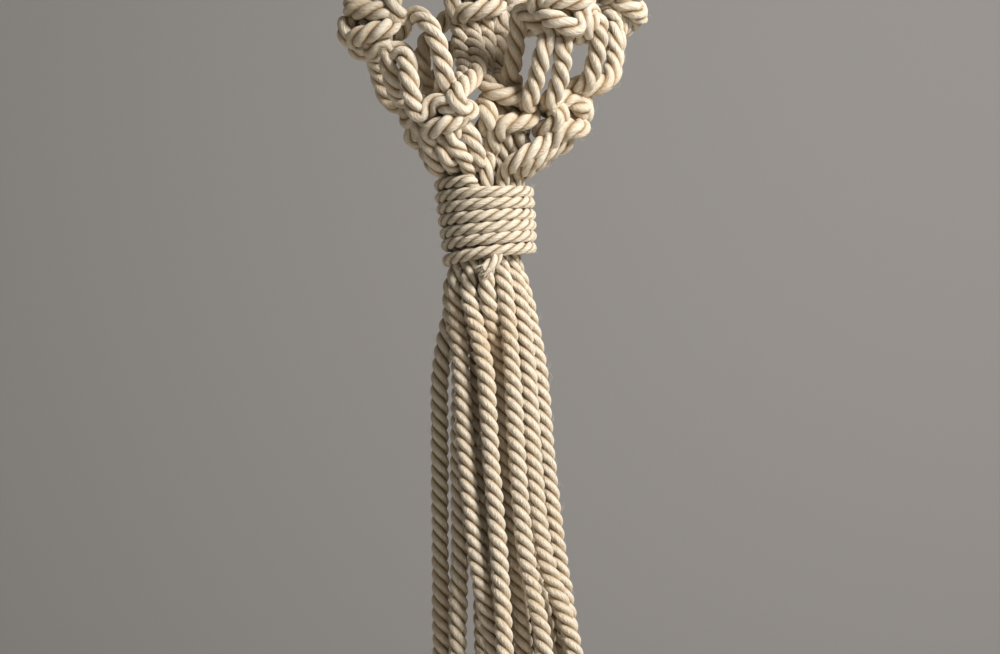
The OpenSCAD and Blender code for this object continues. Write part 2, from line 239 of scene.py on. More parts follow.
@dataclass(frozen=True)
class OiledBeech:
    """Turned and oiled beech: pale brown with fine dark pores and slow growth rings."""

    name: str = "oiled_beech"
    pale: str = "#c39a6c"
    dark: str = "#b48655"
    ring_mm: float = 2.2
    pore_mm: float = 0.5

    def build(self) -> bpy.types.Material:
        """Make the material.

        Returns:
            A node material on Object coordinates.
        """
        material = bpy.data.materials.new(self.name)
        material.use_nodes = True
        tree = material.node_tree
        tree.nodes.clear()
        place = add_node(tree, "ShaderNodeTexCoord")
        stretched = add_node(tree, "ShaderNodeMapping",
                             {"Vector": place.outputs["Object"], "Scale": (0.15, 1.0, 0.3)})
        growth = add_node(tree, "ShaderNodeTexWave",
                          {"Vector": stretched.outputs["Vector"],
                           "Scale": 1 / (self.ring_mm * MM) / (2 * math.pi),
                           "Distortion": 4.0, "Detail": 3.0, "Detail Scale": 1.2},
                          bands_direction="Z")
        pores = add_node(tree, "ShaderNodeTexNoise",
                         {"Vector": stretched.outputs["Vector"],
                          "Scale": 1 / (self.pore_mm * MM), "Detail": 2.0})
        wood = colour_ramp(tree, growth.outputs["Fac"],
                           [(0.0, self.pale), (0.55, self.pale), (1.0, self.dark)])
        pore = add_node(tree, "ShaderNodeMapRange",
                        {"Value": pores.outputs["Fac"], "From Min": 0.35, "From Max": 0.65,
                         "To Min": 0.78, "To Max": 1.05})
        colour = add_node(tree, "ShaderNodeVectorMath",
                          {0: wood, "Scale": pore.outputs["Result"]}, operation="SCALE")
        bump = add_node(tree, "ShaderNodeBump",
                        {"Height": pores.outputs["Fac"], "Strength": 0.35,
                         "Distance": 0.08 * MM})
        shader = add_node(tree, "ShaderNodeBsdfPrincipled",
                          {"Base Color": colour.outputs["Vector"], "Roughness": 0.48,
                           "Normal": bump.outputs["Normal"]})
        add_node(tree, "ShaderNodeOutputMaterial", {"Surface": shader.outputs["BSDF"]})
        return material


@dataclass(frozen=True)
class PaintedPlaster:
    """Matt wall paint on smooth plaster, for the floor and the wall behind."""

    name: str
    colour: str

    def build(self) -> bpy.types.Material:
        """Make the material.

        Returns:
            A plain matt node material.
        """
        material = bpy.data.materials.new(self.name)
        material.use_nodes = True
        tree = material.node_tree
        tree.nodes.clear()
        shader = add_node(tree, "ShaderNodeBsdfPrincipled",
                          {"Base Color": linear(self.colour), "Roughness": 0.95,
                           "Specular IOR Level": 0.1})
        add_node(tree, "ShaderNodeOutputMaterial", {"Surface": shader.outputs["BSDF"]})
        return material


# ---------------------------------------------------------------- cord geometry


def smooth_path(points: np.ndarray, spacing: float) -> np.ndarray:
    """Smooth curve through points, with its own points an even distance apart.

    Args:
        points: Route points, one row each, in metres.
        spacing: Distance between the curve's points.

    Returns:
        The curve's points.
    """
    p = np.asarray(points, float)
    step = np.maximum(np.linalg.norm(np.diff(p, axis=0), axis=1), 1e-6) ** 0.5
    knots = np.concatenate([[0], np.cumsum(step)])
    slope = np.empty_like(p)
    slope[0] = (p[1] - p[0]) / step[0]
    slope[-1] = (p[-1] - p[-2]) / step[-1]
    before = (p[1:-1] - p[:-2]) / step[:-1, None]
    after = (p[2:] - p[1:-1]) / step[1:, None]
    share = (step[:-1] / (step[:-1] + step[1:]))[:, None]
    slope[1:-1] = before * (1 - share) + after * share
    samples = 14
    t = np.linspace(0, 1, samples, endpoint=False)[None, :, None]
    h = step[:, None, None]
    a, b = p[:-1, None], p[1:, None]
    m, n = slope[:-1, None] * h, slope[1:, None] * h
    dense = ((2 * t**3 - 3 * t**2 + 1) * a + (t**3 - 2 * t**2 + t) * m
             + (3 * t**2 - 2 * t**3) * b + (t**3 - t**2) * n).reshape(-1, 3)
    dense = np.vstack([dense, p[-1]])
    run = np.concatenate([[0], np.cumsum(np.linalg.norm(np.diff(dense, axis=0), axis=1))])
    count = max(int(round(run[-1] / spacing)), 3) + 1
    even = np.linspace(0, run[-1], count)
    return np.stack([np.interp(even, run, dense[:, k]) for k in range(3)], axis=1)


def headings_of(path: np.ndarray) -> np.ndarray:
    """Unit direction of a path at each of its points."""
    d = np.gradient(path, axis=0)
    return d / np.maximum(np.linalg.norm(d, axis=1), 1e-12)[:, None]


def carried_frames(path: np.ndarray) -> tuple[np.ndarray, np.ndarray]:
    """Two directions across a path, carried along it without turning about it.

    Args:
        path: Points of the path.

    Returns:
        The two directions at each point.
    """
    heading = headings_of(path)
    guess = np.array([1.0, 0.13, 0.07])
    u = np.empty_like(path)
    v = np.empty_like(path)
    last = guess - heading[0] * guess.dot(heading[0])
    for i, t in enumerate(heading):
        last = last - t * last.dot(t)
        last = last / np.linalg.norm(last)
        u[i] = last
        v[i] = np.cross(t, last)
    return u, v


def arc_length(path: np.ndarray) -> np.ndarray:
    """Distance along a path at each of its points."""
    return np.concatenate([[0], np.cumsum(np.linalg.norm(np.diff(path, axis=0), axis=1))])


@dataclass
class MeshData:
    """Vertices and faces of a piece as it grows, with the two values that its cord carries."""

    points: list[np.ndarray] = field(default_factory=list)
    faces: list[list[int]] = field(default_factory=list)
    space: list[np.ndarray] = field(default_factory=list)
    crown: list[np.ndarray] = field(default_factory=list)
    count: int = 0

    def add(self, points: np.ndarray, faces: list[list[int]], space: np.ndarray,
            crown: np.ndarray) -> None:
        """Add a closed skin.

        Args:
            points: Vertices, one row each.
            faces: Faces as lists of vertex numbers within points.
            space: Each vertex's place in the straightened cord.
            crown: How far each vertex stands out of the grooves, from 0 to 1.
        """
        self.points.append(points)
        self.space.append(space)
        self.crown.append(crown)
        self.faces.extend([n + self.count for n in face] for face in faces)
        self.count += len(points)

    def make(self, name: str, material: bpy.types.Material) -> bpy.types.Object:
        """Turn the data into a Blender object at the origin.

        Args:
            name: Name of the piece.
            material: Its finish.

        Returns:
            The new object.
        """
        mesh = bpy.data.meshes.new(name)
        points = np.vstack(self.points)
        mesh.from_pydata(points.tolist(), [], self.faces)
        mesh.attributes.new("cord_space", "FLOAT_VECTOR", "POINT").data.foreach_set(
            "vector", np.vstack(self.space).astype(np.float32).ravel())
        mesh.attributes.new("crown", "FLOAT", "POINT").data.foreach_set(
            "value", np.concatenate(self.crown).astype(np.float32))
        mesh.materials.append(material)
        mesh.polygons.foreach_set("use_smooth", [True] * len(mesh.polygons))
        mesh.update()
        piece = bpy.data.objects.new(name, mesh)
        bpy.context.scene.collection.objects.link(piece)
        log.info("%s: %d faces", name, len(mesh.polygons))
        return piece


@dataclass(frozen=True)
class CordSpec:
    """A left-laid rope of three plies.

    Attributes:
        diameter: Diameter over the crowns of the plies.
        lay: Length in which a ply goes once round the cord.
        ring: Distance between the rings of its mesh.
    """

    diameter: float
    lay: float
    ring: float = 0.65 * MM


PLIES = 3
PLY_COLUMNS = 9


def ply_outline() -> tuple[np.ndarray, np.ndarray]:
    """Outline of three plies pressed together, for a cord of radius 1.

    Returns:
        Angles and radii, column by column.
    """
    ply_r, ply_offset = 0.57, 0.43
    spread = np.array([-60, -51, -37, -22, -7.5, 7.5, 22, 37, 51])
    angles = np.concatenate([spread + 360 / PLIES * k for k in range(PLIES)])
    local = np.radians(np.tile(spread, PLIES))
    radii = ply_offset * np.cos(local) + np.sqrt(
        ply_r**2 - (ply_offset * np.sin(local)) ** 2)
    return np.radians(angles), radii


OUTLINE_ANGLES, OUTLINE_RADII = ply_outline()


def tube_faces(rings: int, columns: int) -> np.ndarray:
    """Four-sided faces of a tube's wall."""
    i = np.arange(rings - 1)[:, None] * columns
    k = np.arange(columns)[None, :]
    j = (k + 1) % columns
    return np.stack([i + k, i + j, i + columns + j, i + columns + k], axis=-1).reshape(-1, 4)


def add_cord(data: MeshData, path: np.ndarray, spec: CordSpec, rng: np.random.Generator,
             widths: np.ndarray | float = 1.0) -> None:
    """Sweep the three-ply outline along a path, turning left-handed with the lay.

    Args:
        data: Piece that takes the cord.
        path: Even points of the centreline.
        spec: The cord.
        rng: Source of its small unevenness.
        widths: Share of the full diameter at each point.
    """
    columns = len(OUTLINE_ANGLES)
    run = arc_length(path)
    u, v = carried_frames(path)
    widths = np.broadcast_to(np.asarray(widths, float), run.shape)
    start = rng.uniform(0, 2 * math.pi)
    wander = 0.35 * np.sin(run / (31 * MM) + rng.uniform(0, 6))
    turn = start - 2 * math.pi * run / spec.lay + wander
    swell = 1 + 0.025 * np.sin(run / (9 * MM) + rng.uniform(0, 6))
    ply = np.repeat(np.arange(PLIES), PLY_COLUMNS)
    ply_phase = rng.uniform(0, 6, PLIES)[ply]
    uneven = 1 + 0.03 * np.sin(run[:, None] / (5.5 * MM) + ply_phase[None, :])
    radius = spec.diameter / 2 * widths[:, None] * swell[:, None] * uneven
    radius = radius * OUTLINE_RADII[None, :]
    angle = OUTLINE_ANGLES[None, :] + turn[:, None]
    x, y = radius * np.cos(angle), radius * np.sin(angle)
    points = path[:, None] + x[..., None] * u[:, None] + y[..., None] * v[:, None]
    offset = rng.uniform(0, 5)
    space = np.stack([x, y, np.broadcast_to(run[:, None] + offset, x.shape)], axis=-1)
    low, high = OUTLINE_RADII.min(), OUTLINE_RADII.max()
    crown = np.tile((OUTLINE_RADII - low) / (high - low), (len(path), 1))
    rings = len(path)
    walls = tube_faces(rings, columns).tolist()
    tip = rings * columns
    last = (rings - 1) * columns
    caps = []
    for k in range(columns):
        j = (k + 1) % columns
        caps += [[tip, j, k], [tip + 1, last + k, last + j]]
    data.add(np.vstack([points.reshape(-1, 3), path[:1], path[-1:]]), walls + caps,
             np.vstack([space.reshape(-1, 3), [[0, 0, run[0] + offset]],
                        [[0, 0, run[-1] + offset]]]),
             np.concatenate([crown.ravel(), [0.5, 0.5]]))


def add_fibre(data: MeshData, path: np.ndarray, radius: float, crown: float = 0.9) -> None:
    """Add one loose fibre or yarn end as a thin three-sided tube that ends in a point.

    Args:
        data: Piece that takes the fibre.
        path: Its centreline, a few points.
        radius: Its radius at the root.
        crown: How pale it is.
    """
    u, v = carried_frames(path)
    angle = np.radians([0, 120, 240])
    taper = np.linspace(1, 0.35, len(path))[:, None, None] * radius
    points = (path[:, None] + taper * (np.cos(angle)[None, :, None] * u[:, None]
                                      + np.sin(angle)[None, :, None] * v[:, None]))
    last = (len(path) - 1) * 3
    faces = tube_faces(len(path), 3).tolist() + [[0, 2, 1], [last, last + 1, last + 2]]
    flat = points.reshape(-1, 3)
    data.add(flat, faces, flat, np.full(len(flat), crown))


def add_fuzz(data: MeshData, path: np.ndarray, diameter: float,
             rng: np.random.Generator, per_cm: float = 5.0) -> None:
    """Stand fine loose fibres on a cord, as worn cotton has.

    Args:
        data: Piece that takes the fibres.
        path: The cord's centreline.
        diameter: The cord's diameter.
        rng: Source of their places.
        per_cm: Fibres for each centimetre of cord.
    """
    length = arc_length(path)[-1]
    u, v = carried_frames(path)
    heading = headings_of(path)
    for _ in range(int(length * 100 * per_cm)):
        i = int(rng.integers(1, len(path) - 1))
        a = rng.uniform(0, 2 * math.pi)
        out = math.cos(a) * u[i] + math.sin(a) * v[i]
        side = np.cross(heading[i], out)
        along = heading[i] * rng.choice([-1.0, 1.0])
        reach = rng.uniform(0.5, 1.5) * MM
        run = rng.uniform(1.2, 3.2) * MM
        bow = rng.uniform(-1, 1) * MM
        root = path[i] + out * diameter * 0.44
        fibre = np.stack([root, root + out * reach * 0.7 + along * run * 0.3,
                          root + out * reach + along * run * 0.7 + side * bow * 0.6,
                          root + out * reach * 0.8 + along * run + side * bow])
        add_fibre(data, fibre, 0.035 * MM)


def add_frayed_end(data: MeshData, path: np.ndarray, diameter: float,
                   rng: np.random.Generator, yarns: int = 26, length: float = 6 * MM) -> None:
    """Let the yarns of a cut end open out.

    Args:
        data: Piece that takes the yarns.
        path: Centreline of the cord, whose last point is the cut.
        diameter: The cord's diameter.
        rng: Source of the spread.
        yarns: How many yarn ends show.
        length: How far they stand out of the cord.
    """
    u, v = carried_frames(path)
    heading = headings_of(path)[-1]
    root_ring = max(len(path) - 4, 0)
    for _ in range(yarns):
        a = rng.uniform(0, 2 * math.pi)
        r = diameter / 2 * math.sqrt(rng.uniform(0.02, 0.8))
        out = math.cos(a) * u[-1] + math.sin(a) * v[-1]
        twist = np.cross(heading, out)
        root = path[root_ring] + out * r
        reach = length * rng.uniform(0.55, 1.0)
        splay = rng.uniform(0.05, 0.45)
        curl = rng.uniform(-0.3, 0.3)
        points = [root + heading * reach * s + out * r * splay * s * 1.6
                  + twist * reach * curl * s * s for s in (0.0, 0.4, 0.75, 1.0)]
        add_fibre(data, np.stack(points), rng.uniform(0.16, 0.26) * MM, rng.uniform(0.5, 1.0))


# ---------------------------------------------------------------- square knots


class Role(Enum):
    """The four cords of a square knot, from left to right where they enter it."""

    LEFT_WORKER = 0
    LEFT_FILLER = 1
    RIGHT_FILLER = 2
    RIGHT_WORKER = 3


@dataclass
class SquareKnot:
    """One square knot: two workers tied round two fillers, in two halves.

    Attributes:
        centre: Middle of the knot, in metres.
        facing: Azimuth that its front looks to, in degrees from the front, to the right.
        lean: How far its foot leans outwards, in degrees.
        roll: Turn in its own plane, in degrees.
        cord: Diameter of the cords in the knot.
        height: Height over the two halves.
        mirrored: True where the right-hand worker starts the knot.
        loose: Share by which the workers stand out from the fillers.
        tight: Share of its full width that the knot is pulled in to.
    """

    centre: np.ndarray
    facing: float
    lean: float = 0.0
    roll: float = 0.0
    cord: float = 4.1 * MM
    height: float = 12 * MM
    mirrored: bool = False
    loose: float = 1.0
    tight: float = 1.0

    # Left worker's route, in cord diameters across and deep and in half heights up:
    # over the front to the right, round the side, and over the front to the left again.
    LEAD = ((-1.55, 0.00, 1.00), (-1.62, -0.35, 0.80), (-1.15, -0.86, 0.60),
            (0.00, -1.04, 0.46), (1.10, -0.86, 0.36), (1.60, -0.12, 0.16),
            (1.50, -0.30, -0.14), (1.05, -0.88, -0.36), (0.00, -1.04, -0.50),
            (-1.10, -0.86, -0.60), (-1.55, -0.20, -0.76), (-1.50, 0.00, -1.00))
    # Right worker's route: over the other's end, behind the fillers, out through the
    # loop on the left, and back again behind them to the right.
    CHASE = ((1.55, -0.10, 1.00), (1.85, -0.75, 0.66), (2.00, -0.55, 0.26),
             (1.60, 0.62, 0.20), (0.90, 0.98, 0.34), (0.00, 1.04, 0.42),
             (-1.10, 0.90, 0.44), (-1.75, 0.30, 0.28), (-2.05, -0.55, 0.00),
             (-1.98, -0.62, -0.34), (-1.70, 0.52, -0.66), (-0.90, 0.98, -0.56),
             (0.00, 1.04, -0.48), (1.10, 0.86, -0.50), (1.72, 0.10, -0.66),
             (1.60, 0.00, -1.00))
    FILLER = ((0.52, 0.0, 1.0), (0.50, 0.0, 0.5), (0.50, 0.0, -0.5), (0.52, 0.0, -1.0))

    def place(self, across: float, deep: float, up: float) -> np.ndarray:
        """Point of the knot in the row frame.

        Args:
            across: Cord diameters to the right, for someone facing the knot's front.
            deep: Cord diameters towards its back.
            up: Half heights up.

        Returns:
            The point, in metres.
        """
        x, z = across * self.cord * self.tight, up * self.height / 2
        y = deep * self.cord * self.loose
        r = math.radians(self.roll)
        x, z = x * math.cos(r) - z * math.sin(r), x * math.sin(r) + z * math.cos(r)
        t = math.radians(-self.lean)
        y, z = y * math.cos(t) - z * math.sin(t), y * math.sin(t) + z * math.cos(t)
        a = math.radians(self.facing)
        return self.centre + np.array([x * math.cos(a) - y * math.sin(a),
                                       x * math.sin(a) + y * math.cos(a), z])

    def route(self, role: Role) -> list[np.ndarray]:
        """Route of one of the four cords through the knot, from top to bottom.

        Args:
            role: Which of the four cords.

        Returns:
            Route points, in metres.
        """
        side = -1 if self.mirrored else 1
        if role in (Role.LEFT_FILLER, Role.RIGHT_FILLER):
            hand = -1 if role is Role.LEFT_FILLER else 1
            return [self.place(hand * x, y, z) for x, y, z in self.FILLER]
        leads = (role is Role.LEFT_WORKER) != self.mirrored
        points = self.LEAD if leads else self.CHASE
        return [self.place(side * x, y, z) for x, y, z in points]


# ---------------------------------------------------------------- sizes shared by the pieces


@dataclass(frozen=True)
class HangerSizes:
    """Sizes that the looks share with the frame."""

    cord_d: float = 4.5 * MM
    knot_cord_d: float = 4.1 * MM
    wrap_strand_d: float = 3.5 * MM
    wrap_cord_d: float = 3.1 * MM
    outer_ring_r: float = 6.97 * MM
    inner_ring_r: float = 2.55 * MM
    wrap_turns: float = 6.5
    column_h: float = 62 * MM
    column_knots: int = 5
    upper_arm_l: float = 84 * MM
    wrap_entry: float = 6 * MM

    def place_in_wrap(self, azimuth: float, inside: bool) -> np.ndarray:
        """Where a strand lies in a wrap's bundle, on the wrap's axis plane.

        Args:
            azimuth: Degrees from the front, to the right.
            inside: True for the four inner strands.

        Returns:
            The point across the axis.
        """
        r = self.inner_ring_r if inside else self.outer_ring_r
        a = math.radians(azimuth)
        return np.array([r * math.sin(a), -r * math.cos(a), 0.0])


SIZES = HangerSizes()
FREE_CORD = CordSpec(SIZES.cord_d, 12.5 * MM)
TASSEL_CORD = CordSpec(4.6 * MM, 10.0 * MM)
WRAP_CORD = CordSpec(SIZES.wrap_cord_d, 11.0 * MM, 0.55 * MM)
BOTTOM = centre_of("bottom_wrap")
TOP = centre_of("top_wrap")
WRAP_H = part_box("bottom_wrap")[1].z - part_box("bottom_wrap")[0].z
DOWN = np.array([0.0, 0.0, -1.0])


def joint_place(name: str) -> np.ndarray:
    """Point that a joint of the frame turns about."""
    found = [j for j in frame["joints"] if j["name"] == name]
    return np.array(found[0]["pos_m"], float)


def outward(azimuth: float) -> np.ndarray:
    """Level direction away from the axis."""
    a = math.radians(azimuth)
    return np.array([math.sin(a), -math.cos(a), 0.0])


def sideways(azimuth: float) -> np.ndarray:
    """Level direction to the right of someone who looks at that azimuth from outside."""
    a = math.radians(azimuth)
    return np.array([math.cos(a), math.sin(a), 0.0])


def net_point(x: float, y: float, z: float) -> np.ndarray:
    """Point of the net given in millimetres from the middle of the bottom wrap."""
    return BOTTOM + np.array([x, y, z]) * MM


# ---------------------------------------------------------------- ring loops and wraps


@dataclass
class RingLoops:
    """Eight cords folded over the ring, gathered into the top wrap."""

    finish: bpy.types.Material
    count: int = 8
    wire_r: float = 4.5 * MM
    gap: float = 0.2 * MM
    places: tuple[tuple[float, bool], ...] = (
        (-75, False), (-45, False), (-45, True), (-15, False),
        (15, False), (45, True), (45, False), (75, False))

    def build(self) -> bpy.types.Object:
        """Make the loops.

        Returns:
            The piece, riding with the top wrap.
        """
        low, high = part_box("hanging_ring")
        mean_r = (high.x - low.x) / 2 - self.wire_r
        centre = np.array([0, 0, (low.z + high.z) / 2])
        loop_r = self.wire_r + SIZES.cord_d / 2 + self.gap
        step = 2 * math.asin((SIZES.cord_d + 0.2 * MM) / 2 / (mean_r - loop_r - 0.15 * MM))
        foot_z = TOP[2]
        rng = np.random.default_rng(SEED + 1)
        data = MeshData()
        for i in range(self.count):
            a = (i - (self.count - 1) / 2) * step
            out = np.array([math.sin(a), 0, -math.cos(a)])
            arc = []
            for t in np.linspace(0, math.pi, 13):
                arc.append(centre + out * (mean_r - loop_r * math.sin(t))
                           + np.array([0, -loop_r * math.cos(t), 0]))
            place = SIZES.place_in_wrap(*self.places[i])
            legs = []
            for side in (-1, 1):
                foot = np.array([place[0], side * abs(place[1]), foot_z])
                legs.append(self.leg(centre + out * mean_r, out, foot, side * loop_r))
            path = smooth_path(np.array(legs[0][::-1] + arc + legs[1]), FREE_CORD.ring)
            run = arc_length(path)
            from_end = np.minimum(run, run[-1] - run)
            widths = np.interp(from_end, [0, 10 * MM, 26 * MM], [0.78, 0.8, 0.99])
            add_cord(data, path, FREE_CORD, rng, widths)
            add_fuzz(data, path, SIZES.cord_d, rng, 3)
        piece = data.make("loops_over_ring", self.finish)
        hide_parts("ring_loops", "top_bundle")
        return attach(piece, "hanger_top")

    @staticmethod
    def leg(top: np.ndarray, out: np.ndarray, foot: np.ndarray,
            beside: float) -> list[np.ndarray]:
        """One leg of a loop, from the ring down into the wrap.

        Args:
            top: Middle of the wire where the loop sits.
            out: Direction away from the ring's middle.
            foot: Where the leg ends in the wrap.
            beside: How far the leg starts in front of or behind the wire.

        Returns:
            Route points from just under the wire to the foot.
        """
        mouth = np.array([foot[0], 0, TOP[2] + WRAP_H / 2])
        drop = (top[2] - mouth[2]) / 3
        spine = [top, top + out * drop, mouth + np.array([0, 0, drop * 1.5]), mouth]
        points = []
        for t in (0.17, 0.34, 0.5, 0.67, 0.84, 1.0):
            w = [(1 - t) ** 3, 3 * (1 - t) ** 2 * t, 3 * (1 - t) * t * t, t**3]
            p = sum(k * s for k, s in zip(w, spine))
            c = min(max(2 * t - 1, 0), 1)
            c = c * c * (3 - 2 * c)
            points.append(np.array([p[0], beside + (foot[1] - beside) * c, p[2]]))
        return points + [foot]


@dataclass
class Wrap:
    """A gathering wrap: turns of one tight cord, with its ends tucked under.

    Attributes:
        finish: Material of the cord.
        middle: Middle of the wrap.
        tilt: How far the turns rise to the right, in degrees.
        seed: Number that sets its unevenness.
    """

    finish: bpy.types.Material
    middle: np.ndarray
    name: str
    node: str
    body: str
    tilt: float = 3.0
    seed: int = 0
    slack_turn: bool = False

    def build(self) -> bpy.types.Object:
        """Make the wrap.

        Returns:
            The piece.
        """
        rng = np.random.default_rng(SEED + self.seed)
        cord_r = SIZES.wrap_cord_d / 2
        low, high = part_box(self.node)
        centre_r = (high.x - low.x) / 2 - cord_r + 0.1 * MM
        turns = SIZES.wrap_turns
        span = WRAP_H - SIZES.wrap_cord_d
        points = []
        steps = 28
        for i in range(int(turns * steps) + 1):
            t = i / steps
            a = 2 * math.pi * t + math.pi * 0.9
            rise = (t / turns - 0.5) * span
            r = centre_r + rng.uniform(-0.05, 0.05) * MM
            taper = 1 + 0.04 * rise / (span / 2)
            edge = max(0.0, abs(rise) / (span / 2) - 0.55) / 0.45
            r = r * taper * (1 - 0.015 * edge)
            x, y = r * math.sin(a), -r * math.cos(a)
            lean = x * math.tan(math.radians(self.tilt))
            sag = 0.35 * MM * math.sin(a * 0.5 + t)
            if self.slack_turn and t < 0.62:
                slack = math.sin(math.pi * min(t / 0.62, 1.0)) ** 2
                rise -= slack * 0.9 * MM
                x, y = x * (1 + 0.03 * slack), y * (1 + 0.03 * slack)
            slide = -0.8 * MM * rise / (span / 2)
            level = rise + lean * (1.1 - 1.3 * t / turns) + sag * 0.3
            points.append(self.middle + np.array([x + slide, y, level]))
        inner = centre_r - SIZES.wrap_cord_d
        start, end = points[0], points[-1]
        tuck_in = [self.middle + np.array([0.55 * inner * (start - self.middle)[0] / centre_r,
                                           0.55 * inner * (start - self.middle)[1] / centre_r,
                                           (start - self.middle)[2] + 4 * MM])]
        tuck_out = [self.middle + np.array([0.75 * inner * (end - self.middle)[0] / centre_r,
                                            0.75 * inner * (end - self.middle)[1] / centre_r,
                                            (end - self.middle)[2] - 2 * MM])]
        path = smooth_path(np.array(tuck_in + points[1:] + tuck_out), WRAP_CORD.ring)
        data = MeshData()
        add_cord(data, path, WRAP_CORD, rng)
        add_fuzz(data, path, SIZES.wrap_cord_d, rng, 3)
        piece = data.make(self.name, self.finish)
        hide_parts(self.node)
        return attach(piece, self.body)


@dataclass
class WrapTail:
    """Cut end of the wrapping cord, frayed, hanging out under the bottom wrap."""

    finish: bpy.types.Material

    def build(self) -> bpy.types.Object:
        """Make the tail.

        Returns:
            The piece.
        """
        rng = np.random.default_rng(SEED + 40)
        route = [net_point(2.6, -8.6, -6), net_point(2.2, -10.2, -9.6),
                 net_point(0.9, -11.2, -11.2), net_point(-0.9, -11.5, -12.6)]
        path = smooth_path(np.array(route), WRAP_CORD.ring)
        data = MeshData()
        add_cord(data, path, WRAP_CORD, rng)
        add_frayed_end(data, path, SIZES.wrap_cord_d, rng, 44, 3.6 * MM)
        add_fuzz(data, path, SIZES.wrap_cord_d, rng, 20)
        piece = data.make("frayed_wrap_tail", self.finish)
        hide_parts("wrap_tail")
        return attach(piece, "hanger")


# ---------------------------------------------------------------- arms


@dataclass
class Arm:
    """One arm: four cords from the top wrap, a column of square knots, and loose cords
    down to the knot at its end."""

    finish: bpy.types.Material
    side: str
    seed: int

    def knot_centre(self) -> np.ndarray:
        """Middle of the knot at the arm's end."""
        return centre_of("top_knot_" + self.side)

    def build(self) -> bpy.types.Object:
        """Make the arm down to and with its end knot.

        Returns:
            The piece, with its cords coming out of the top wrap.
        """
        rng = np.random.default_rng(SEED + self.seed)
        end = self.knot_centre()
        azimuth = math.degrees(math.atan2(end[0], -end[1]))
        pivot = joint_place("arms_swing")
        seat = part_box(f"arm_{self.side}_upper_cords")[1].z
        top_r = SIZES.outer_ring_r
        knot = SquareKnot(end, azimuth, mirrored=self.seed % 2 == 0)
        foot = end + np.array([0, 0, knot.height / 2])
        reach = math.hypot(end[0], end[1]) - top_r
        fall = seat - 4.1 * MM - foot[2]
        lean = math.degrees(math.atan(reach / fall))
        axis_top = outward(azimuth) * top_r + np.array([0, 0, foot[2] + fall])
        along = outward(azimuth) * math.sin(math.radians(lean)) + DOWN * math.cos(
            math.radians(lean))
        one = SIZES.column_h / SIZES.column_knots
        column = [SquareKnot(axis_top + along * (SIZES.upper_arm_l + (i + 0.5) * one),
                             azimuth, lean, height=one, mirrored=self.seed % 2 == 1)
                  for i in range(SIZES.column_knots)]
        starts = [(azimuth - 30, False), (azimuth, False), (azimuth, True),
                  (azimuth + 30, False)]
        lower_l = fall / math.cos(math.radians(lean)) - SIZES.upper_arm_l - SIZES.column_h
        data = MeshData()
        for role, (where, inside) in zip(Role, starts):
            top = SIZES.place_in_wrap(where, inside)
            top_points = [top + np.array([0, 0, pivot[2] + 9 * MM]),
                          top + np.array([0, 0, pivot[2]]),
                          top * 1.03 + np.array([0, 0, pivot[2] - 9 * MM])]
            head = column[0].route(role)[0]
            loose = []
            for s in (0.28, 0.52, 0.78):
                bend = s * s * (3 - 2 * s)
                p = top + np.array([0, 0, pivot[2] - 9 * MM])
                p = p + (head - p) * np.array([bend, bend, s])
                loose.append(p + rng.normal(0, 0.35 * MM, 3) * np.array([1, 1, 0]))
            body = [q for knot_of in column for q in knot_of.route(role)]
            tail = column[-1].route(role)[-1]
            last = knot.route(role)[0]
            hang = []
            for s in (0.15, 0.35, 0.55, 0.75, 0.9):
                blend = s * s * (3 - 2 * s)
                p = tail + along * lower_l * s
                q = last + np.array([0, 0, (1 - s) * lower_l])
                p = p * (1 - blend) + q * blend
                hang.append(p + rng.normal(0, 0.3 * MM, 3) * np.array([1, 1, 0]))
            knots = knot.route(role)
            path = smooth_path(np.array(top_points + loose + body + hang + knots),
                               0.8 * MM)
            run = arc_length(path)
            widths = np.interp(run, [0, 14 * MM, 40 * MM], [0.74, 0.78, 0.98])
            in_column = self.inside(path, column[0].centre, column[-1].centre, one)
            widths = np.where(in_column, 0.93, widths)
            add_cord(data, path, FREE_CORD, rng, self.eased(widths))
            add_fuzz(data, path, SIZES.cord_d, rng, 2)
        piece = data.make(f"arm_{self.side}_cords", self.finish)
        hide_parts(f"arm_{self.side}_upper_cords", f"arm_{self.side}_column",
                    f"arm_{self.side}_lower_cords", f"top_knot_{self.side}")
        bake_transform(piece)
        return piece

    @staticmethod
    def inside(path: np.ndarray, first: np.ndarray, last: np.ndarray,
               one: float) -> np.ndarray:
        """Which points of a path are in the knotted column."""
        return (path[:, 2] < first[2] + one / 2) & (path[:, 2] > last[2] - one / 2)

    @staticmethod
    def eased(widths: np.ndarray) -> np.ndarray:
        """Widths with their steps smoothed over a few rings."""
        kernel = np.ones(9) / 9
        padded = np.pad(widths, 4, mode="edge")
        return np.convolve(padded, kernel, mode="valid")


# ---------------------------------------------------------------- net


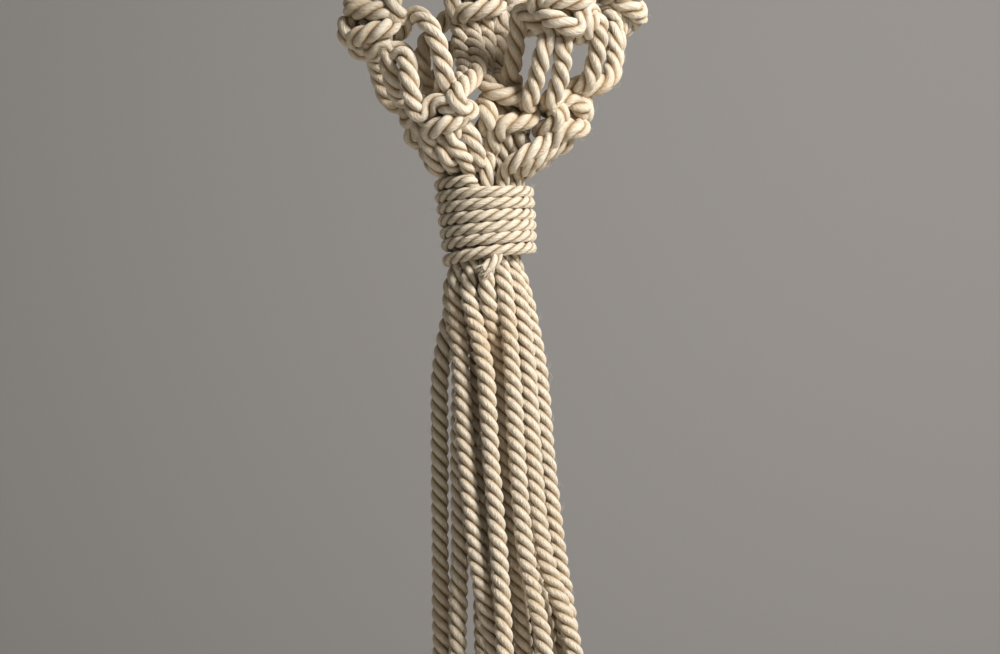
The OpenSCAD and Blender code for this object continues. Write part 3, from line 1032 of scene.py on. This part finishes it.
@dataclass
class Net:
    """Sixteen cords from the arms' end knots, through three rows of four knots, into the
    bottom wrap. Each row's cords part in pairs to the knots left and right below them."""

    finish: bpy.types.Material

    SIDES = ("left", "front", "right", "back")
    ROWS = (("top_knot_left", "top_knot_front", "top_knot_right", "top_knot_back"),
            ("second_knot_left", "second_knot_front", "second_knot_right",
             "second_knot_back"),
            ("third_knot_left", "third_knot_middle", "third_knot_front",
             "third_knot_right"),
            ("fourth_knot_left", "fourth_knot_middle", "fourth_knot_right",
             "fourth_knot_back"))
    SHIFT = (0, 1, 0)
    FACING = {"third_knot_left": -22, "third_knot_middle": 5, "third_knot_front": 10,
              "third_knot_right": 70, "fourth_knot_left": -38, "fourth_knot_middle": 25,
              "fourth_knot_right": 58, "fourth_knot_back": 230}
    ROLL = {"third_knot_left": 3, "third_knot_front": -10, "fourth_knot_left": 0,
            "fourth_knot_middle": 4, "fourth_knot_right": -8}
    MIRRORED = ("third_knot_front", "second_knot_front", "third_knot_right")
    # Points of a knot's route that a cord skips where it comes in low or leaves high.
    LATE = {("fourth_knot_left", Role.LEFT_WORKER): 3,
            ("fourth_knot_middle", Role.RIGHT_WORKER): 3,
            ("fourth_knot_right", Role.LEFT_WORKER): 2}
    EARLY = {("third_knot_left", Role.RIGHT_WORKER): 2,
             ("third_knot_front", Role.RIGHT_WORKER): 2,
             ("third_knot_front", Role.LEFT_WORKER): 2}
    EARLY_LAST = 2
    # How far a knot is pulled out of its place in the frame, in millimetres.
    PULLED = {"third_knot_left": (0, 0, -1.6), "fourth_knot_left": (0, -0.5, -0.4),
              "fourth_knot_middle": (1.6, -3.0, -0.6), "fourth_knot_right": (-1.8, -1.0, 0)}

    # Places of the cords between the two lowest rows, in millimetres from the middle of
    # the bottom wrap, from the third row's knots downwards.
    WAY_DOWN = {
        ("third_knot_left", Role.LEFT_WORKER):
            ((-28.5, -4, 41.5), (-27.4, 2, 38.0), (-26.3, 5, 34.1), (-24.0, 8, 30.5)),
        ("third_knot_left", Role.LEFT_FILLER):
            ((-24.1, -14, 41.0), (-23.7, -13, 36.6), (-22.8, -10, 33), (-21.4, -3, 30.5)),
        ("third_knot_left", Role.RIGHT_FILLER):
            ((-19.8, -15.5, 39.6), (-19.1, -17, 36.4), (-18.5, -18, 32.6),
             (-18.0, -17.5, 28.6), (-16.0, -16, 24.8)),
        ("third_knot_left", Role.RIGHT_WORKER):
            ((-18.2, -13, 49.6), (-15.0, -17, 47.6), (-12.8, -19, 44.2),
             (-11.4, -19, 40.4), (-10.4, -18.2, 36.5), (-10.0, -17, 33.2)),
        ("third_knot_middle", Role.LEFT_WORKER):
            ((-7.0, 5, 47.5), (-6.2, 2, 42.0), (-5.4, -6, 36.0)),
        ("third_knot_middle", Role.LEFT_FILLER):
            ((-3.6, 5, 47.5), (-2.4, 0, 42.0), (-2.4, -8, 36.0)),
        ("third_knot_middle", Role.RIGHT_FILLER):
            ((0.2, 6, 47.5), (0.2, 3, 42.5), (-0.6, -1, 37.0)),
        ("third_knot_middle", Role.RIGHT_WORKER):
            ((4.0, 6.5, 47.5), (3.6, 4, 42.8), (2.9, 1, 37.0)),
        ("third_knot_front", Role.LEFT_WORKER):
            ((8.2, -12, 50.5), (7.6, -10.5, 46.5), (7.1, -9.5, 42.5), (6.5, -9, 38.5),
             (6.0, -8.5, 35.5)),
        ("third_knot_front", Role.LEFT_FILLER):
            ((14.0, -18, 41.4), (13.3, -17.5, 38.6), (12.4, -15.5, 35.0),
             (11.4, -14, 31.6), (10.2, -12.5, 28.4)),
        ("third_knot_front", Role.RIGHT_FILLER):
            ((18.3, -17.5, 41.4), (18.4, -16, 38.6), (17.9, -14.5, 34.8),
             (17.0, -13, 31.4), (15.4, -11, 28.4)),
        ("third_knot_front", Role.RIGHT_WORKER):
            ((24.0, -18, 49.6), (27.0, -16.5, 47.0), (27.2, -14.5, 43.2),
             (26.8, -13, 40.0), (25.8, -11.5, 36.6), (24.6, -10, 33.6)),
        ("third_knot_right", Role.LEFT_WORKER):
            ((31.8, 2, 46.5), (32.0, 2, 42.4), (31.4, 1, 38.2), (29.2, -1, 34.4)),
        ("third_knot_right", Role.LEFT_FILLER):
            ((33.0, 6.5, 46.5), (32.3, 6, 40.9), (30.8, 4, 36.0)),
        ("third_knot_right", Role.RIGHT_FILLER):
            ((25.0, 13, 53.0), (4.0, 18, 57.0), (-11.0, 17, 53.0), (-16.5, 15, 45.0),
             (-16.0, 13, 37.0)),
        ("third_knot_right", Role.RIGHT_WORKER):
            ((27.0, 16, 49.0), (6.0, 20, 51.5), (-7.0, 20, 48.0), (-12.0, 18, 41.0),
             (-12.5, 15, 34.5)),
    }
    # Places of the cords between the lowest knots and the wrap's mouth.
    INTO_WRAP = {
        ("fourth_knot_left", Role.LEFT_WORKER): ((-13.6, -11, 16.6), (-12.2, -7, 12.6)),
        ("fourth_knot_left", Role.LEFT_FILLER): ((-9.9, -13.5, 15.2),),
        ("fourth_knot_left", Role.RIGHT_FILLER): ((-5.6, -12.5, 15.0),),
        ("fourth_knot_left", Role.RIGHT_WORKER): ((-2.0, -10.5, 15.2),),
        ("fourth_knot_middle", Role.LEFT_WORKER): ((0.6, -6.5, 16.5),),
        ("fourth_knot_middle", Role.LEFT_FILLER): ((3.4, -4.5, 16.5),),
        ("fourth_knot_middle", Role.RIGHT_FILLER): ((5.5, -1.0, 16.5),),
        ("fourth_knot_middle", Role.RIGHT_WORKER): ((8.4, 2.0, 16.8),),
        ("fourth_knot_right", Role.LEFT_WORKER):
            ((15.0, -8.8, 19.0), (11.0, -11.0, 16.6), (6.8, -11.0, 13.8)),
        ("fourth_knot_right", Role.LEFT_FILLER):
            ((15.6, -7.6, 17.6), (11.4, -8.8, 14.2)),
        ("fourth_knot_right", Role.RIGHT_FILLER): ((15.6, -4.0, 17.4), (11.0, -3.0, 13.2)),
        ("fourth_knot_right", Role.RIGHT_WORKER): ((16.0, 1.0, 17.6), (11.2, 2.0, 13.4)),
        ("fourth_knot_back", Role.LEFT_WORKER): ((-8.0, 12.5, 15.5),),
        ("fourth_knot_back", Role.LEFT_FILLER): ((-9.5, 11.0, 15.5),),
        ("fourth_knot_back", Role.RIGHT_FILLER): ((-13.0, 7.0, 15.5),),
        ("fourth_knot_back", Role.RIGHT_WORKER): ((-14.6, 1.0, 16.0), (-11.6, 1.0, 12.6)),
    }
    # Azimuth in the wrap's bundle, and whether the cord is one of the inner four.
    SEATS = {
        "fourth_knot_left": ((-90, False), (-60, False), (-30, False), (-45, True)),
        "fourth_knot_middle": ((0, False), (45, True), (135, True), (150, False)),
        "fourth_knot_right": ((30, False), (60, False), (90, False), (120, False)),
        "fourth_knot_back": ((180, False), (210, False), (240, False), (225, True)),
    }

    def knot(self, name: str) -> SquareKnot:
        """Square knot that stands where the frame has it."""
        centre = centre_of(name) + np.array(self.PULLED.get(name, (0, 0, 0))) * MM
        facing = self.FACING.get(name, math.degrees(math.atan2(centre[0], -centre[1])))
        tight, height = {"third": (0.78, 11.5 * MM), "fourth": (0.66, 12.5 * MM)}.get(
            name.split("_")[0], (0.92, 12 * MM))
        if name == "fourth_knot_middle":
            tight = 0.82
        return SquareKnot(centre, facing, roll=self.ROLL.get(name, 0), height=height,
                          cord=4.3 * MM, mirrored=name in self.MIRRORED, tight=tight)

    @staticmethod
    def below(row: int, index: int, role: Role) -> tuple[int, Role]:
        """Knot and place in it that a cord comes to in the next row.

        Args:
            row: Row that it leaves.
            index: Knot that it leaves.
            role: Its place in that knot.

        Returns:
            The next knot's number and the cord's place in it.
        """
        first_left = index + Net.SHIFT[row]
        if role in (Role.LEFT_WORKER, Role.LEFT_FILLER):
            return (first_left - 1) % 4, Role(role.value + 2)
        return first_left % 4, Role(role.value - 2)

    def cord_route(self, index: int, role: Role, knots: dict[str, SquareKnot]
                   ) -> np.ndarray:
        """Whole route of one cord, from under an arm's end knot into the wrap.

        Args:
            index: Arm that it comes from.
            role: Its place in the arm's end knot.
            knots: The knots by name.

        Returns:
            Route points.
        """
        points = [knots[self.ROWS[0][index]].route(role)[-1]]
        points.insert(0, points[0] + np.array([0, 0, 2.5 * MM]))
        for row in range(3):
            name = self.ROWS[row][index]
            way = self.WAY_DOWN.get((name, role))
            index, role = self.below(row, index, role)
            name = self.ROWS[row + 1][index]
            head = knots[name].route(role)[self.LATE.get((name, role), 0):]
            worker = role in (Role.LEFT_WORKER, Role.RIGHT_WORKER)
            spare = self.EARLY_LAST if row == 2 and worker else 0
            head = head[:len(head) - self.EARLY.get((name, role), spare)]
            if way:
                points += [net_point(*p) for p in way]
            else:
                points += self.hang(points[-1], head[0])
            points += head
        name = self.ROWS[3][index]
        points += [net_point(*p) for p in self.INTO_WRAP[(name, role)]]
        azimuth, inside = self.SEATS[name][role.value]
        seat = SIZES.place_in_wrap(azimuth, inside)
        points.append(BOTTOM + seat * 1.2 + np.array([0, 0, WRAP_H / 2 + 0.2 * MM]))
        points.append(BOTTOM + seat + np.array([0, 0, WRAP_H / 2 - 5 * MM]))
        return np.array(points)

    @staticmethod
    def hang(start: np.ndarray, end: np.ndarray) -> list[np.ndarray]:
        """Points of a loose cord between two knots: straight out of one and into the other."""
        fall = start[2] - end[2]
        points = []
        for s in (0.2, 0.4, 0.6, 0.8):
            ease = s * s * (3 - 2 * s)
            level = 0.35 * s + 0.65 * ease
            points.append(np.array([start[0] + (end[0] - start[0]) * level,
                                    start[1] + (end[1] - start[1]) * level,
                                    start[2] - fall * s]))
        return points

    def build(self) -> list[bpy.types.Object]:
        """Make the net, one piece for the four cords of each arm.

        Returns:
            The four pieces, riding with the hanger.
        """
        knots = {name: self.knot(name) for row in self.ROWS for name in row}
        between = ("upper_net_cords", "middle_net_cords", "lower_net_cords",
                   "gathered_cords")
        pieces = []
        for index, side in enumerate(self.SIDES):
            rng = np.random.default_rng(SEED + 20 + index)
            data = MeshData()
            for role in Role:
                path = smooth_path(self.cord_route(index, role, knots), 0.6 * MM)
                run = arc_length(path)
                above = path[:, 2] - (BOTTOM[2] + WRAP_H / 2)
                widths = np.interp(above, [0, 5 * MM, 11 * MM, 24 * MM, 60 * MM],
                                   [0.80, 0.96, 1.12, 1.10, 1.04])
                widths = widths * (1 + 0.03 * np.sin(run / (17 * MM) + index))
                add_cord(data, path, FREE_CORD, rng, widths)
                add_fuzz(data, path, SIZES.cord_d, rng, 6)
            piece = data.make(f"net_cords_{side}", self.finish)
            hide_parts(between[index], *(row[index] for row in self.ROWS[1:]))
            pieces.append(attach(piece, "hanger"))
        return pieces


# ---------------------------------------------------------------- tassel


@dataclass
class Tassel:
    """Sixteen cut strands that hang from the bottom wrap, in four groups."""

    finish: bpy.types.Material

    SIDES = ("left", "front", "right", "back")
    # Depth under the wrap's middle, and where each strand hangs at those depths, across
    # and in front or behind, in millimetres.
    DEPTHS = (36, 58, 82, 106, 140, 178, 215.5)
    ROUTES = (
        ((-11.4, 2.5), (-11.8, 3), (-11.8, 2.5), (-11.5, 2), (-11, 2), (-10.5, 2), (-10, 2)),
        ((-6.8, -0.5), (-7, -2), (-6.8, -3.2), (-7.2, -3.5), (-6.5, -3.5), (-6, -3),
         (-5.5, -3)),
        ((-6.3, -6), (-5, -7), (-2.5, -8), (1.4, -8), (3, -8), (3.5, -7.5), (3.5, -7)),
        ((-2.5, 2.2), (-2.5, 1.5), (-1.5, 0.5), (-1, 0), (-0.5, 0), (0, 0), (0, 0)),
        ((-0.4, -9.3), (1, -9.8), (2.8, -10.5), (4.3, -12.2), (6.5, -12.2), (7.5, -11.2),
         (8, -10.8)),
        ((2.8, -4.5), (4, -5), (6.3, -5.8), (9.3, -7), (10.5, -7.5), (11, -7), (11, -6.5)),
        ((6, -9), (7.2, -10), (9.6, -11), (14.4, -12), (15.5, -12), (15.5, -11.5),
         (15, -11)),
        ((3, 0.8), (4.2, 0.3), (5.8, -0.5), (7.5, -1.5), (9, -1.5), (9.5, -1), (9.5, -1)),
        ((10, -5.3), (11.5, -6.5), (14.3, -8.3), (21.4, -8.2), (22, -8), (21.5, -7.5),
         (20.5, -7.2)),
        ((12.7, -0.5), (14.8, -1.6), (17.5, -3), (21, -3), (22, -2.8), (21.5, -2.3),
         (21, -2)),
        ((11.3, 5), (13, 4.5), (15.5, 3.2), (18.5, 2.5), (19, 2.5), (18.5, 3), (18, 3)),
        ((8, 0.8), (9.4, 0.2), (11.4, -1.2), (15, -3.5), (16, -3), (16, -2.5),
         (15.5, -2.5)),
        ((6.3, 6), (7.8, 5.5), (9.8, 4.6), (12, 3.5), (13, 3.5), (12.8, 4), (12.5, 4)),
        ((3.8, 11), (5.3, 10.8), (7, 10), (9, 9.2), (10, 9.2), (10, 9.6), (9.8, 9.6)),
        ((-1.8, 10.8), (-0.5, 10.5), (1.2, 9.8), (3.2, 9), (4.2, 9), (4.4, 9.5),
         (4.2, 9.5)),
        ((1.2, 6.2), (2.6, 5.8), (4.2, 5), (6, 4.3), (7.3, 4.3), (7.3, 4.8), (7, 4.8)),
    )
    FIRST_AZIMUTH = -120
    STEP = 30

    def build(self) -> list[bpy.types.Object]:
        """Make the strands.

        Returns:
            The sixteen pieces, each hanging out of the wrap.
        """
        pieces = []
        for i, route in enumerate(self.ROUTES):
            group, place = divmod(i, 4)
            inside = place == 3
            azimuth = self.FIRST_AZIMUTH + self.STEP * (3 * group + 1 if inside
                                                        else i - group)
            pieces.append(self.strand(i, self.SIDES[group], place + 1, azimuth, inside,
                                      route))
        return pieces

    def strand(self, number: int, side: str, place: int, azimuth: float, inside: bool,
               route: tuple[tuple[float, float], ...]) -> bpy.types.Object:
        """Make one strand.

        Args:
            number: Its number, for its own unevenness.
            side: Group that it hangs in, which goes into its name.
            place: Its number in the group.
            azimuth: Where it leaves the wrap.
            inside: True for an inner strand.
            route: Where it hangs at each depth.

        Returns:
            The piece.
        """
        rng = np.random.default_rng(SEED + 60 + number)
        seat = SIZES.place_in_wrap(azimuth, inside)
        mouth = -WRAP_H / 2
        points = [BOTTOM + seat + np.array([0, 0, mouth + 7 * MM]),
                  BOTTOM + seat + np.array([0, 0, mouth + 1 * MM]),
                  BOTTOM + seat * 1.28 + np.array([0, 0, mouth - 6 * MM])]
        points += [net_point(x, y, -depth) for (x, y), depth in zip(route, self.DEPTHS)]
        path = smooth_path(np.array(points), 0.65 * MM)
        run = arc_length(path)
        wave = 0.25 * MM * np.sin(run / (23 * MM) + number)
        path = path + wave[:, None] * np.clip(run / (40 * MM), 0, 1)[:, None] * outward(
            azimuth + 90)
        run = arc_length(path)
        widths = np.interp(run, [0, 6 * MM, 16 * MM], [0.72, 0.84, 1.0])
        data = MeshData()
        add_cord(data, path, TASSEL_CORD, rng, widths)
        add_fuzz(data, path, SIZES.cord_d, rng, 8)
        add_frayed_end(data, path, SIZES.cord_d, rng, 30, 3.2 * MM)
        piece = data.make(f"tassel_strand_{side}_{place}", self.finish)
        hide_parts(f"strand_{side}_{place}")
        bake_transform(piece)
        return piece


# ---------------------------------------------------------------- stage


@dataclass
class Stage:
    """Plain wall and floor, a soft key lamp from the right and a weak fill."""

    wall_away: float = 0.55
    floor_z: float = -0.83
    key_watts: float = 8.2
    fill_watts: float = 0.35
    sky: float = 0.17

    def lamp(self, name: str, place: tuple[float, float, float],
             target: tuple[float, float, float], watts: float, size: float,
             colour: str) -> bpy.types.Object:
        """Add one area lamp aimed at a point."""
        bpy.ops.object.light_add(type="AREA", location=place)
        lamp = bpy.context.object
        lamp.name = name
        lamp.data.energy, lamp.data.size = watts, size
        lamp.data.color = linear(colour)[:3]
        aim = np.array(target) - np.array(place)
        lamp.rotation_euler = (math.acos(-aim[2] / np.linalg.norm(aim)), 0,
                               math.atan2(aim[1], aim[0]) - math.pi / 2)
        return lamp

    def plane(self, name: str, place: tuple[float, float, float], size: float,
              upright: bool, finish: bpy.types.Material) -> bpy.types.Object:
        """Add a wall or a floor."""
        turn = (math.pi / 2, 0, 0) if upright else (0, 0, 0)
        bpy.ops.mesh.primitive_plane_add(size=size, location=place, rotation=turn)
        sheet = bpy.context.object
        sheet.name = name
        sheet.data.materials.append(finish)
        return sheet

    def build(self) -> None:
        """Set the stage, the lamps and the camera."""
        paint = PaintedPlaster("wall_paint", "#a3a2a2").build()
        floor = PaintedPlaster("floor_paint", "#d8d4cc").build()
        self.plane("wall", (0, self.wall_away, 0), 6, True, paint)
        self.plane("floor", (0, 0, self.floor_z), 6, False, floor)
        foot = (0.0, 0.0, float(BOTTOM[2]))
        self.lamp("key", (0.47, -0.40, foot[2] + 0.36), foot, self.key_watts, 0.20,
                  "#fffaf4")
        self.lamp("fill", (-0.9, -0.9, foot[2] + 0.1), foot, self.fill_watts, 0.9,
                  "#f3e4dc")
        world = bpy.data.worlds.new("room")
        bpy.context.scene.world = world
        world.use_nodes = True
        back = world.node_tree.nodes["Background"]
        back.inputs["Color"].default_value = linear("#f2efe9")
        back.inputs["Strength"].default_value = self.sky
        scene = bpy.context.scene
        scene.view_settings.view_transform = "Standard"
        bpy.ops.object.camera_add(location=(3.25 * MM, -0.470, foot[2] - 26.4 * MM),
                                  rotation=(math.pi / 2, 0, 0))
        camera = bpy.context.object
        camera.data.sensor_width, camera.data.lens = 36, 67.7
        camera.data.clip_start = 0.01
        camera.data.dof.use_dof = False
        scene.camera = camera


def main() -> None:
    """Build the pieces and the stage."""
    logging.basicConfig(level=logging.INFO, format="%(name)s: %(message)s")
    rope = CottonRope("cotton_rope").build()
    # the wrapping cord's groove colour is painted shade with some dust, as in the rope
    wrapping = CottonRope("cotton_wrapping_cord", crown="#e4dac8", side="#cfc1a8",
                          groove_shade_and_dust="#6f5239", streak_mm=5.0).build()
    beech = OiledBeech().build()
    ring = frame["nodes"]["hanging_ring"]
    ring.data.materials.clear()
    ring.data.materials.append(beech)
    RingLoops(rope).build()
    Wrap(wrapping, TOP, "top_wrapping_cord", "top_wrap", "hanger_top", 1.0, 31).build()
    Wrap(wrapping, BOTTOM, "bottom_wrapping_cord", "bottom_wrap", "hanger", 3.0, 32,
         True).build()
    WrapTail(wrapping).build()
    for seed, side in enumerate(Net.SIDES):
        Arm(rope, side, 10 + seed).build()
    Net(rope).build()
    Tassel(rope).build()
    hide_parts("bottom_bundle")
    Stage().build()


if __name__ == "__main__":
    main()
